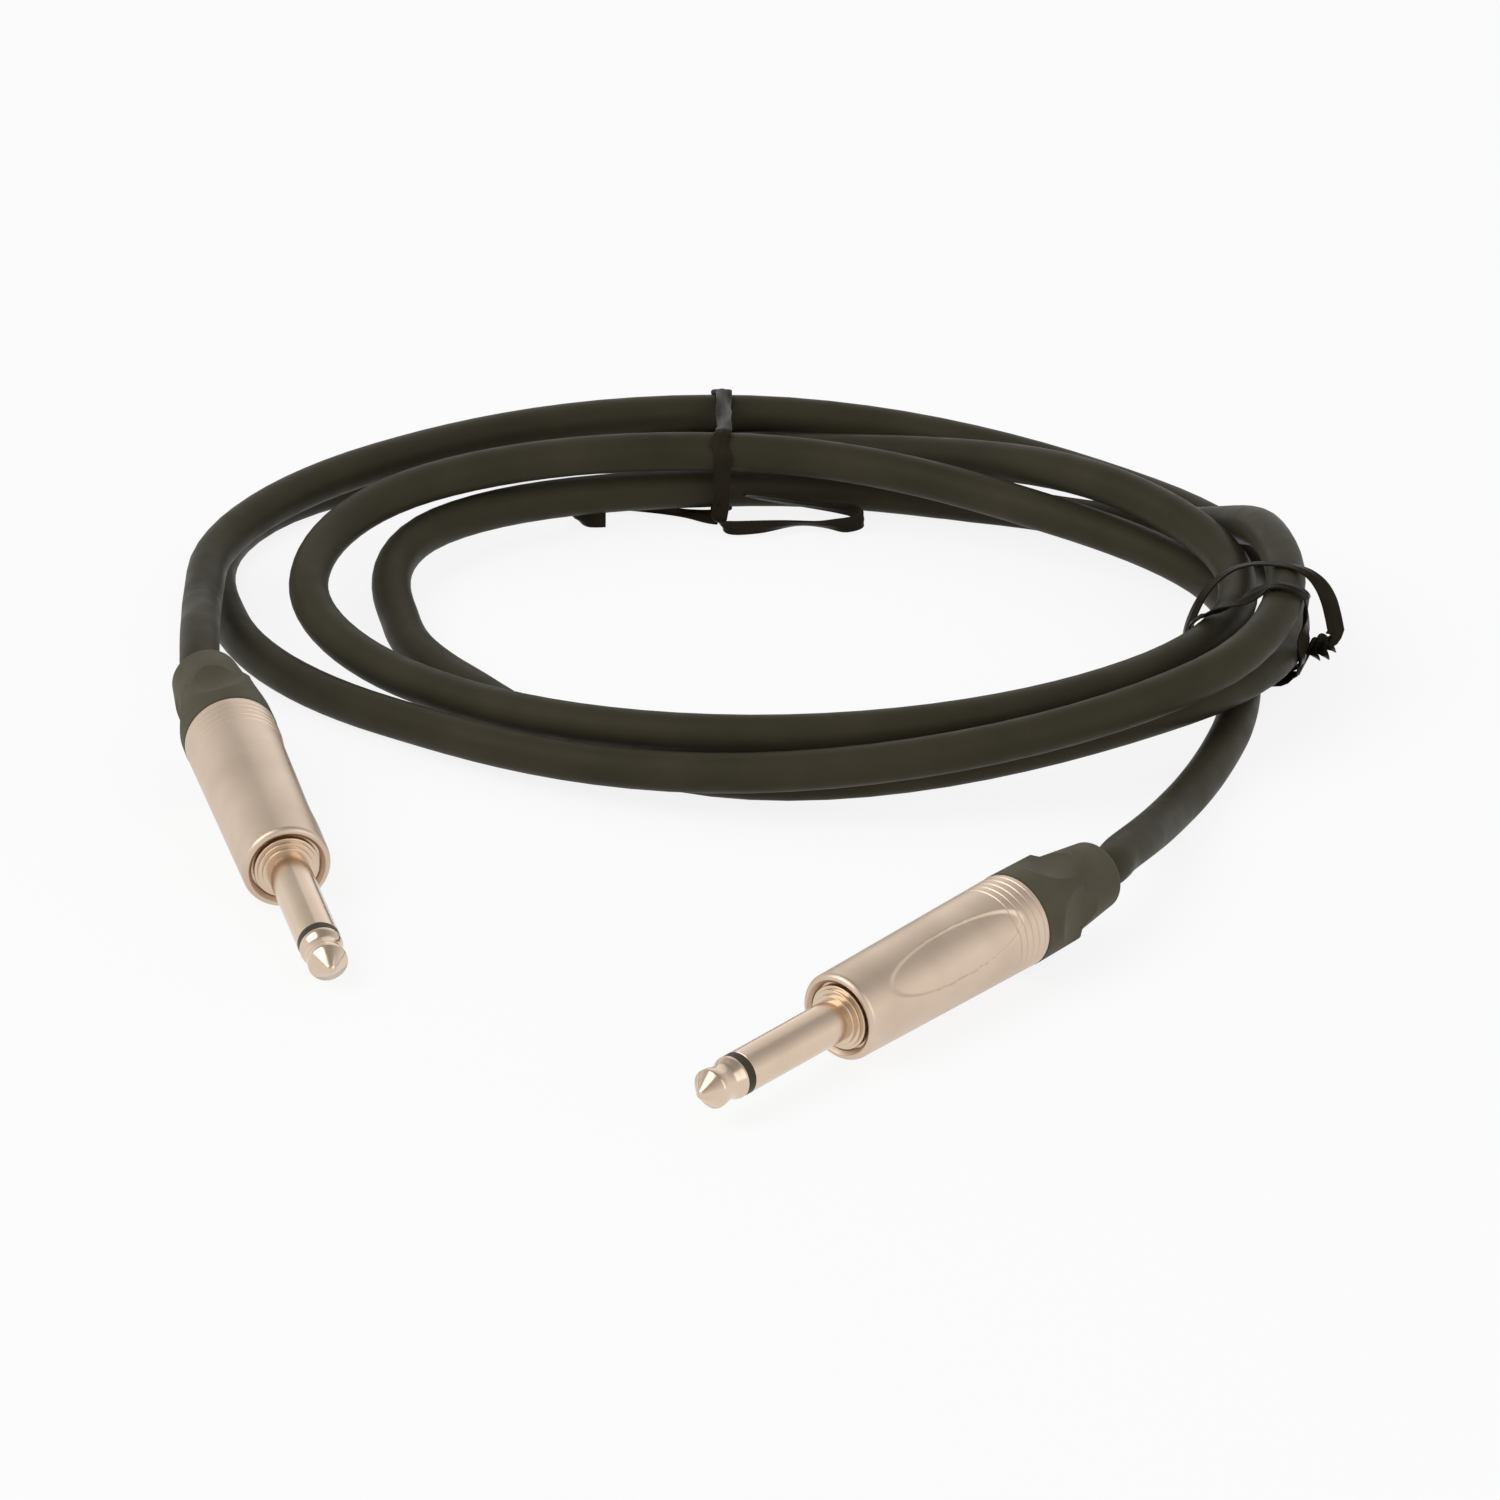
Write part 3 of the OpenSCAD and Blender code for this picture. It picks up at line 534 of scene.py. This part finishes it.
def scoop_dent(roll):
    """How far the boot's finger scoops lie below the turned surface."""
    pitch = 2 * math.pi / SCOOPS

    def dent(a, r, z):
        off = z - SCOOP_CENTRE_AT
        if r < BOOT_MOUTH_R or abs(off) >= SCOOP_R:
            return 0.0
        turn = a - roll - pitch * round((a - roll) / pitch)
        floor = SCOOP_CENTRE_R - math.sqrt(SCOOP_R ** 2 - off ** 2)
        return max(0.0, r - floor / math.cos(turn))

    return dent


def boot_outline():
    """The boot's ring, waist and mouth outside, then its bore, chuck cavity and spigot."""
    ring_back_r = BOOT_RING_R - BOOT_RING_TAPER - WAIST_ROUND
    waist_start = BOOT_RING_END + WAIST_STEP + WAIST_ROUND
    outline = trimmed(BOOT_RING_R, SHELL_END, BOOT_FRONT_EDGE)
    outline += arc(ring_back_r, BOOT_RING_END - WAIST_ROUND, WAIST_ROUND, 0, 70, 4)
    outline += arc(BOOT_WAIST_R + WAIST_ROUND, waist_start, WAIST_ROUND, 250, 180, 4)
    outline += arc(BOOT_MOUTH_R - MOUTH_ROUND, BOOT_END - MOUTH_ROUND, MOUTH_ROUND, 0, 90)
    cavity_r = CHUCK_R + SEAT_CLEARANCE
    outline += [(BOOT_BORE_R + MOUTH_FLARE, BOOT_END), (BOOT_BORE_R, BOOT_END - 4 * MOUTH_FLARE),
                (BOOT_BORE_R, CAVITY_END), (cavity_r - CHUCK_TAPER, CAVITY_NARROWS),
                (cavity_r, SHELL_END + SEAT_CLEARANCE), (cavity_r, SPIGOT_START),
                (cavity_r + SPIGOT_WALL, SPIGOT_START), (cavity_r + SPIGOT_WALL, SHELL_END)]
    return outline


def make_boot(plug):
    """The boot, with its finger scoops and the round mouth that the cable leaves by."""
    outline = dense(boot_outline(), SCOOP_STEP, *SCOOP_REACH)
    boot = turned("rear_boot_" + plug.name, plug, outline, BOOT_SEGMENTS, scoop_dent(plug.boot_roll))
    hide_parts("boot_" + plug.name)
    return finish_piece(boot, BOOT_PLASTIC, plug.boot_body)


INNER_LOOKS = {
    "inner_tube": RING_PLASTIC,
    "rear_insulator": LAMINATE,
    "tip_lug": TINNED,
    "ground_lug": TINNED,
    "chuck": GREY_PLASTIC,
    "core_wire": CORE_PLASTIC,
    "shield_tail": COPPER,
}


def dress_inner(plug):
    """Gives the CAD pieces inside a plug their materials, and returns them."""
    nodes = []
    for piece, material in INNER_LOOKS.items():
        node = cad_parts[piece + "_" + plug.name]
        node.data.materials.clear()
        node.data.materials.append(material)
        nodes.append(node)
    return nodes


def make_plug(plug):
    """All pieces of one plug, those inside included."""
    made = [make(plug) for make in (make_tip, make_tip_ring, make_sleeve, make_shell, make_boot)]
    return made + dress_inner(plug)


# ---------------------------------------------------------------- cable and ties


def make_cable(far_pieces):
    """The whole cable, from inside plug A to inside plug B. far_pieces, the pieces of the plug at its far
    end, is not used.
    """
    route = cable_route()
    cable = tube("cable", route, CORD_R)
    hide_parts("cable_coil", "cable_lead_a", "cable_lead_b")
    finish_piece(cable, JACKET, "cable")


TIE_WIDTH, TIE_THICKNESS = 2.6, 0.6
FLAT_SHARE = 0.3  # half the thickness of the strip's flat, as a share of the whole
STRIP_EDGE = [(0.02, 0.4), (0.1, 0.8), (0.3, 1)]  # in from the edge, share of the flat's height
RIDGE_FOOT, RIDGE_SHOULDER = 0.55, 0.3
TIE_GAP, TIE_EASE = 0.15, 0.12  # gap to the strands below, and its growth to the sides and to the top
LAP, LAP_TURN = 0.7, 15  # how far a second pass rises over the first, within how many degrees
WRAP_STEP = 3  # degrees between sections round the strands
RIBBON_STEPS, JOIN_STEPS = 6, 6  # steps between two chosen points, and between two runs
SPAN_STEP, SPAN_SAG, SPAN_ROLL = 1.5, 0.02, math.radians(30)  # a long span droops and rolls

# The back tie leaves the bundle on its inner side: its left end lies on the ground with its tip
# turned back, and its right end is folded back on itself. Its points are in the shared frame and
# its leans in degrees from flat. Angles are in degrees round the strands, from their outer side
# over the top.
BACK_TIE_AT, BACK_TIE_ALONG, BACK_TIE_SWAY, BACK_TIE_WAVES = 0.25, -4.45, 0.4, 4
BACK_TIE_FROM, BACK_TIE_TO = -150, 195
BACK_LEFT = [
    (-23.4, 93.8, 1.4), (-26.2, 93.8, 1.4), (-28.2, 95.8, 1.1), (-26.8, 99.6, 0.6), (-22, 101.2, 0.5),
    (-16, 99.8, 0.6), (-11, 98, 0.7), (-7.8, 96.4, 0.9), (-6, 94.8, 1.5)]
BACK_LEFT_LEANS = [90, 95, 145, 180, 180, 180, 175, 150, 115]
BACK_RIGHT = [
    (-5.5, 93.4, 3.6), (-5.7, 91.4, 2.3), (-4.2, 90.4, 1.5), (0.6, 90.9, 1.4), (6.3, 92.8, 1.2),
    (10.4, 92.4, 1.2), (13.8, 91.4, 1.5), (16.4, 92.4, 1.9), (15.4, 94.2, 2.6), (12.4, 94.8, 3),
    (6.8, 94.8, 3.8), (2.1, 94.7, 4.6), (-1.8, 94.3, 5.4)]
BACK_RIGHT_LEANS = [0, 25, 75, 72, 38, 45, 85, 90, 100, 120, 135, 140, 150]

# The side tie has a slack arch over the strands, a tight turn round them and a knot of both ends.
# Its points are (outwards, up, along the cable) from its place. The tight turn starts a little
# along the cable from there, swings further along it and returns part of the way.
SIDE_TIE_AT = 0.555
SIDE_TIGHT_FROM, SIDE_TIGHT_TO, SIDE_LAP_FROM = 282, 672, 640
SIDE_START = 0.6
SIDE_SWING, SIDE_SWING_TO = 6.4, 450
SIDE_RETURN, SIDE_RETURN_FROM, SIDE_RETURN_TO = 4.2, 500, 630
KNOT_NEAR, KNOT_FAR = (10.2, 7.4, 1.2), (13.6, 8.9, 0.9)
KNOT_TURN, KNOT_R, KNOT_SWELL, KNOT_STEPS = 480, 0.3, 0.9, 30
KNOT_SLANT = math.radians(42)
SIDE_LOOP = [
    (14.6, 11.2, 0.6), (14.0, 13.6, 0.4), (13.2, 16.0, 0.2), (11.9, 18.1, 0.0), (10.0, 19.6, -0.2),
    (7.6, 20.3, -0.3), (4.9, 20.4, -0.3), (1.8, 20.1, -0.2), (-1.2, 19.1, 0.0), (-3.9, 17.2, 0.4),
    (-6.0, 14.6, 0.9), (-7.6, 11.2, 1.3), (-8.8, 7.4, 1.4), (-8.9, 4.0, 1.2), (-7.2, 1.4, 0.9),
    (-3.8, 0.4, 0.7)]
SIDE_LEANS = [62, 60, 48, 26, 4, -8, -10, -10, -4, 12, 25, 35, 30, 20, 0, 0]


def eased(value, start, stop):
    """Softly from 0 at start to 1 at stop."""
    return (1 - math.cos(math.pi * min(max((value - start) / (stop - start), 0.0), 1.0))) / 2


class Place:
    """A place t turns round the coil's oval: its directions outwards and along the cable, and how
    far along the cable a turn goes at the speed it has there."""

    def __init__(self, t):
        a = 2 * math.pi * t
        self.t = t
        self.out = Vector((-math.cos(a), math.sin(a), 0))
        self.along = Vector((math.sin(a), math.cos(a), 0))
        self.origin = Vector((
            COIL_CENTRE[0] - COIL_RX * math.cos(a), COIL_CENTRE[1] + COIL_RY * math.sin(a), 0))
        self.speed = 2 * math.pi * (COIL_RX * math.sin(a) ** 2 + COIL_RY * math.cos(a) ** 2)

    def point(self, out, up, along):
        """The point at these distances from the place."""
        return self.origin + out * self.out + along * self.along + Vector((0, 0, up))

    def seen(self, p):
        """A point as (outwards, up), seen along the cable."""
        return Vector(((p - self.origin).dot(self.out), p.z))

    def strands(self, turns, others, along):
        """Where the coil's turns and other straight stretches cross the plane along from here."""
        found = [self.seen(coil_point(self.t + turn + along / self.speed)) for turn in turns]
        for start, end in others:
            near, far = (start - self.origin).dot(self.along), (end - self.origin).dot(self.along)
            found.append(self.seen(start.lerp(end, (along - near) / (far - near))))
        return found


def wrap(place, held, start, stop, along_at, lap_from=math.inf):
    """Sections of a tie wound from one angle to another: centre, direction across and direction
    over. held is the coil's turns and the other stretches that it goes round."""
    sections = []
    for angle in range(start, stop + 1, WRAP_STEP):
        a = math.radians(angle)
        face = Vector((math.cos(a), math.sin(a)))
        along = along_at(angle)
        reach = CORD_R + TIE_GAP + TIE_THICKNESS / 2 + TIE_EASE * (1 + math.sin(a))
        reach += LAP * min(max((angle - lap_from) / LAP_TURN, 0.0), 1.0)
        strand = max(place.strands(*held, along), key=face.dot) + reach * face
        centre = place.point(strand.x, max(TIE_THICKNESS / 2, strand.y), along)
        sections.append((centre, -place.along, face.x * place.out + Vector((0, 0, face.y))))
    return sections


def ribbon(points, leans, level=None):
    """Sections of a strip along points. Each lean is the angle in degrees by which it is turned
    about its run, from flat or from lying across the direction given as level."""
    count = RIBBON_STEPS * (len(points) - 1)
    path = [smooth([Vector(p) for p in points], k / RIBBON_STEPS) for k in range(count + 1)]
    sections = []
    for k, centre in enumerate(path):
        run = (entry(path, k + 1) - entry(path, k - 1)).normalized()
        side = run.cross(Vector((0, 0, 1))) if level is None else level - level.dot(run) * run
        side.normalize()
        up = side.cross(run)
        lean = math.radians(smooth(leans, k / RIBBON_STEPS))
        sections.append((
            centre, math.cos(lean) * side + math.sin(lean) * up,
            math.cos(lean) * up - math.sin(lean) * side))
    return sections


def slack(sections):
    """The same run with more sections over its long spans, where the strip sags and rolls."""
    out = [sections[0]]
    for first, last in zip(sections, sections[1:]):
        span = (last[0] - first[0]).length
        count = math.ceil(span / SPAN_STEP)
        for k in range(1, count):
            w = k / count
            centre, across, over = (a.lerp(b, w) for a, b in zip(first, last))
            across.normalize()
            over.normalize()
            roll = SPAN_ROLL * math.sin(2 * math.pi * w)
            centre -= SPAN_SAG * span * math.sin(math.pi * w) * over
            out.append((
                centre, math.cos(roll) * across + math.sin(roll) * over,
                math.cos(roll) * over - math.sin(roll) * across))
        out.append(last)
    return out


def joined(before, after):
    """Two runs of sections with even steps between them, the second turned over where the strip
    would twist by more than a quarter turn."""
    first, last = before[-1], after[0]
    if first[1].dot(last[1]) + first[2].dot(last[2]) < 0:
        after = [(centre, -across, -over) for centre, across, over in after]
        last = after[0]
    between = []
    for k in range(1, JOIN_STEPS):
        w = k / JOIN_STEPS
        between.append((
            first[0].lerp(last[0], w), first[1].lerp(last[1], w).normalized(),
            first[2].lerp(last[2], w).normalized()))
    return before + between + after


def strip_profile():
    """A flat strip with round edges and a low ridge over its wire, as (across, over)."""
    half, flat, ridge = TIE_WIDTH / 2, TIE_THICKNESS * FLAT_SHARE, TIE_THICKNESS / 2
    upper = [(half - inwards, share * flat) for inwards, share in STRIP_EDGE]
    upper += [(RIDGE_FOOT, flat), (RIDGE_SHOULDER, (flat + ridge) / 2), (0, ridge)]
    over = upper + [(-x, y) for x, y in reversed(upper[:-1])]
    return over + [(-x, -y) for x, y in over]


def make_strip(name, node, sections):
    """A tie's strip through its sections, never lower than the ground."""
    profile = strip_profile()
    points = []
    for centre, across, over in sections:
        for x, y in profile:
            p = centre + x * across + y * over
            points.append((p.x, p.y, max(0.0, p.z)))
    size, last = len(profile), (len(sections) - 1) * len(profile)
    faces = grid_faces(len(sections), size)
    faces += [tuple(reversed(range(size))), tuple(range(last, last + size))]
    strip = make_mesh(name, points, faces, sharp=60)
    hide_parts(node)
    return finish_piece(strip, TIE_PLASTIC, "cable")


def make_back_tie():
    """Wound once round the back of the coil, with both ends lying on its inner side."""

    def along_at(angle):
        return BACK_TIE_ALONG + BACK_TIE_SWAY * math.cos(math.radians(BACK_TIE_WAVES * (angle - 90)))

    held = (range(4), [])
    tight = slack(wrap(Place(BACK_TIE_AT), held, BACK_TIE_FROM, BACK_TIE_TO, along_at))
    sections = joined(ribbon(BACK_LEFT, BACK_LEFT_LEANS), tight)
    make_strip("twist_tie_back", "back_tie", joined(sections, ribbon(BACK_RIGHT, BACK_RIGHT_LEANS)))


def knot_end(near, far, phase):
    """Sections of one end of the side tie, twisted with the other end round the knot's axis."""
    axis = (far - near).normalized()
    level = axis.cross(Vector((0, 0, 1))).normalized()
    rise = level.cross(axis)
    sections = []
    for k in range(KNOT_STEPS + 1):
        w = k / KNOT_STEPS
        a = math.radians(phase + KNOT_TURN * w)
        outward = math.cos(a) * level + math.sin(a) * rise
        across = math.cos(KNOT_SLANT) * outward + math.sin(KNOT_SLANT) * axis
        reach = KNOT_R + KNOT_SWELL * math.sin(math.pi * w)
        sections.append((near.lerp(far, w) + reach * outward, across, outward.cross(axis)))
    return sections


def make_side_tie():
    """Wound twice, slack and then tight, with both ends twisted together."""
    place = Place(SIDE_TIE_AT)
    lead = (Vector(LEAD_B_POINTS[-1]), Vector(LEAD_B_POINTS[-2]))
    near, far = place.point(*KNOT_NEAR), place.point(*KNOT_FAR)

    def along_at(angle):
        swing = SIDE_SWING * eased(angle, SIDE_TIGHT_FROM, SIDE_SWING_TO)
        return SIDE_START + swing - SIDE_RETURN * eased(angle, SIDE_RETURN_FROM, SIDE_RETURN_TO)

    held = (range(3), [lead])
    arch = ribbon([place.point(*p) for p in SIDE_LOOP], SIDE_LEANS, -place.along)
    tight = slack(wrap(place, held, SIDE_TIGHT_FROM, SIDE_TIGHT_TO, along_at, SIDE_LAP_FROM))
    sections = joined(joined(knot_end(near, far, 0), arch), tight)
    make_strip("twist_tie_side", "side_tie", joined(sections, knot_end(near, far, 180)))


make_plug(PLUG_A)
make_cable(make_plug(PLUG_B))
make_back_tie()
make_side_tie()

# ---------------------------------------------------------------- floor and light

FLOOR_REACH, FLOOR_DROP = 3.0, 0.0002
FLOOR_TONE, FLOOR_GLOW = 0.86, 0.86  # its own grey, and the share of white light to the camera
SKY_LOW, SKY_HIGH = (0.05, 1.0), (0.95, 0.36)  # (height in the sky, brightness)
LAMP_SIZE = 0.9
LAMPS = {"key": ((-0.7, -0.3, 0.8), 5.3), "fill": ((0.8, -0.6, 0.5), 2.0), "back": ((0.2, 0.9, 0.6), 0.8)}


def make_floor():
    """A white floor that takes soft shadows and shines to the camera and in reflections."""
    mesh = bpy.data.meshes.new("floor")
    corners = [(FLOOR_REACH * x, FLOOR_REACH * y, 0) for x, y in ((-1, -1), (1, -1), (1, 1), (-1, 1))]
    mesh.from_pydata(corners, [], [(0, 1, 2, 3)])
    floor = bpy.data.objects.new("floor", mesh)
    floor.location.z = -FLOOR_DROP
    bpy.context.collection.objects.link(floor)
    tone = (FLOOR_TONE, FLOOR_TONE, FLOOR_TONE, 1)
    m = Material("floor_white", Base_Color=tone, Roughness=0.9, Specular_IOR_Level=0.0)
    light = m.node("ShaderNodeEmission", {"Color": (1, 1, 1, 1), "Strength": 1.0})
    path = m.node("ShaderNodeLightPath")
    seen = m.node("ShaderNodeMath", {0: path.outputs["Is Camera Ray"], 1: path.outputs["Is Glossy Ray"]},
                  operation="MAXIMUM")
    share = m.node("ShaderNodeMath", {0: seen.outputs[0], 1: FLOOR_GLOW}, operation="MULTIPLY")
    mix = m.node("ShaderNodeMixShader", {0: share.outputs[0], 1: m.shader.outputs[0], 2: light.outputs[0]})
    m.tree.links.new(mix.outputs[0], m.tree.nodes["Material Output"].inputs["Surface"])
    mesh.materials.append(m.material)


def make_lamp(name, place, power):
    """A square lamp at a place, turned to the object, with its power in watts."""
    data = bpy.data.lights.new(name, "AREA")
    data.energy, data.size = power, LAMP_SIZE
    light = bpy.data.objects.new(name, data)
    light.location = place
    light.rotation_euler = (VIEW_CENTRE - Vector(place)).to_track_quat("-Z", "Y").to_euler()
    bpy.context.collection.objects.link(light)


def make_light():
    """A soft studio, brighter round the sides than overhead, white to the camera."""
    world = bpy.data.worlds.new("studio")
    world.use_nodes = True
    nodes, links = world.node_tree.nodes, world.node_tree.links
    place = nodes.new("ShaderNodeTexCoord")
    split = nodes.new("ShaderNodeSeparateXYZ")
    links.new(place.outputs["Generated"], split.inputs[0])
    level = nodes.new("ShaderNodeMapRange")
    for end, (height, brightness) in (("Min", SKY_LOW), ("Max", SKY_HIGH)):
        level.inputs["From " + end].default_value = height
        level.inputs["To " + end].default_value = brightness
    links.new(split.outputs["Z"], level.inputs["Value"])
    lit = nodes["Background"]
    lit.inputs["Color"].default_value = (1, 1, 1, 1)
    links.new(level.outputs["Result"], lit.inputs["Strength"])
    seen = nodes.new("ShaderNodeBackground")
    seen.inputs["Color"].default_value = (1, 1, 1, 1)
    path = nodes.new("ShaderNodeLightPath")
    mix = nodes.new("ShaderNodeMixShader")
    links.new(path.outputs["Is Camera Ray"], mix.inputs[0])
    links.new(lit.outputs[0], mix.inputs[1])
    links.new(seen.outputs[0], mix.inputs[2])
    links.new(mix.outputs[0], nodes["World Output"].inputs["Surface"])
    bpy.context.scene.world = world
    for name, (place, power) in LAMPS.items():
        make_lamp(name, place, power)


make_floor()
make_light()
bpy.context.scene.view_settings.view_transform = "Standard"
